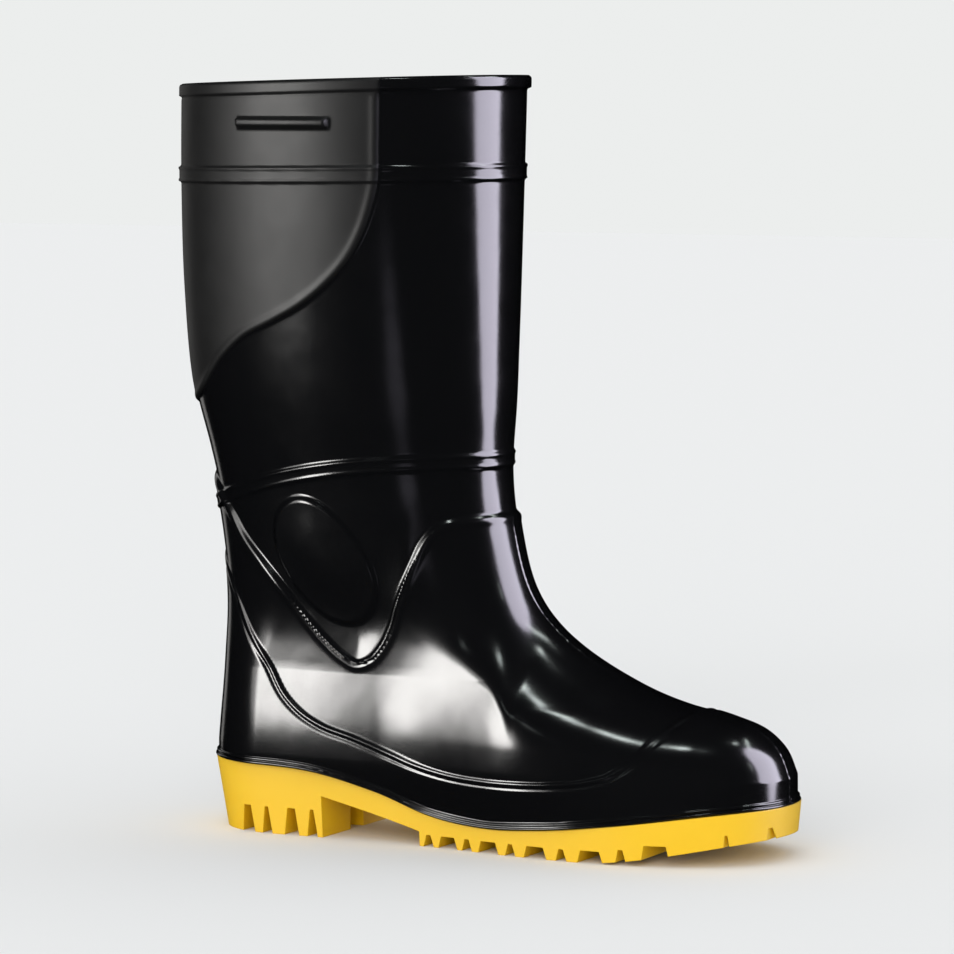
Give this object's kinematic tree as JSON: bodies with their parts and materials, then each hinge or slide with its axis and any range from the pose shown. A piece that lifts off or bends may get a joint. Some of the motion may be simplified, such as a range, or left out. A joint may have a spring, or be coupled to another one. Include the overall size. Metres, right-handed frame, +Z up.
{
  "type": "moulded safety wellington boot",
  "caption": "Right-foot moulded safety wellington with a black upper, a yellow cleated sole, a steel toe cap and plate, a knitted lining and a loose footbed.",
  "frame": {"origin": "on the ground, on the heel tread's face under the middle of the heel", "axes": "+X forward to the toe, +Y to the inner side of the foot, +Z up the shaft"},
  "size_m": [0.3153, 0.1314, 0.3621],
  "materials": {
    "black_pvc": "glossy, with a satin panel at the back of the shaft",
    "yellow_pvc": "satin",
    "cap_steel": "lacquered",
    "plate_steel": "rolled",
    "strip_foam": "matte",
    "board": "matte",
    "knit": "knitted",
    "foam": "matte foam",
    "footbed_fabric": "woven",
    "insert": "matte"
  },
  "bodies": {
    "boot": {"upper_shell": "black_pvc", "outsole": "yellow_pvc", "steel_toe_cap": "cap_steel", "toe_cap_edge_strip": "strip_foam", "steel_midsole": "plate_steel", "insole_board": "board", "heel_insert": "insert", "lining_sock": "knit"},
    "footbed": {"footbed_foam": "foam", "footbed_cover": "footbed_fabric"}
  },
  "joints": [
    {"name": "footbed_lift", "type": "hinge", "parent": "boot", "child": "footbed", "pos_m": [0.2405, 0, 0.0405], "axis": [0, 1, 0], "range_deg": [0, 6]}
  ]
}
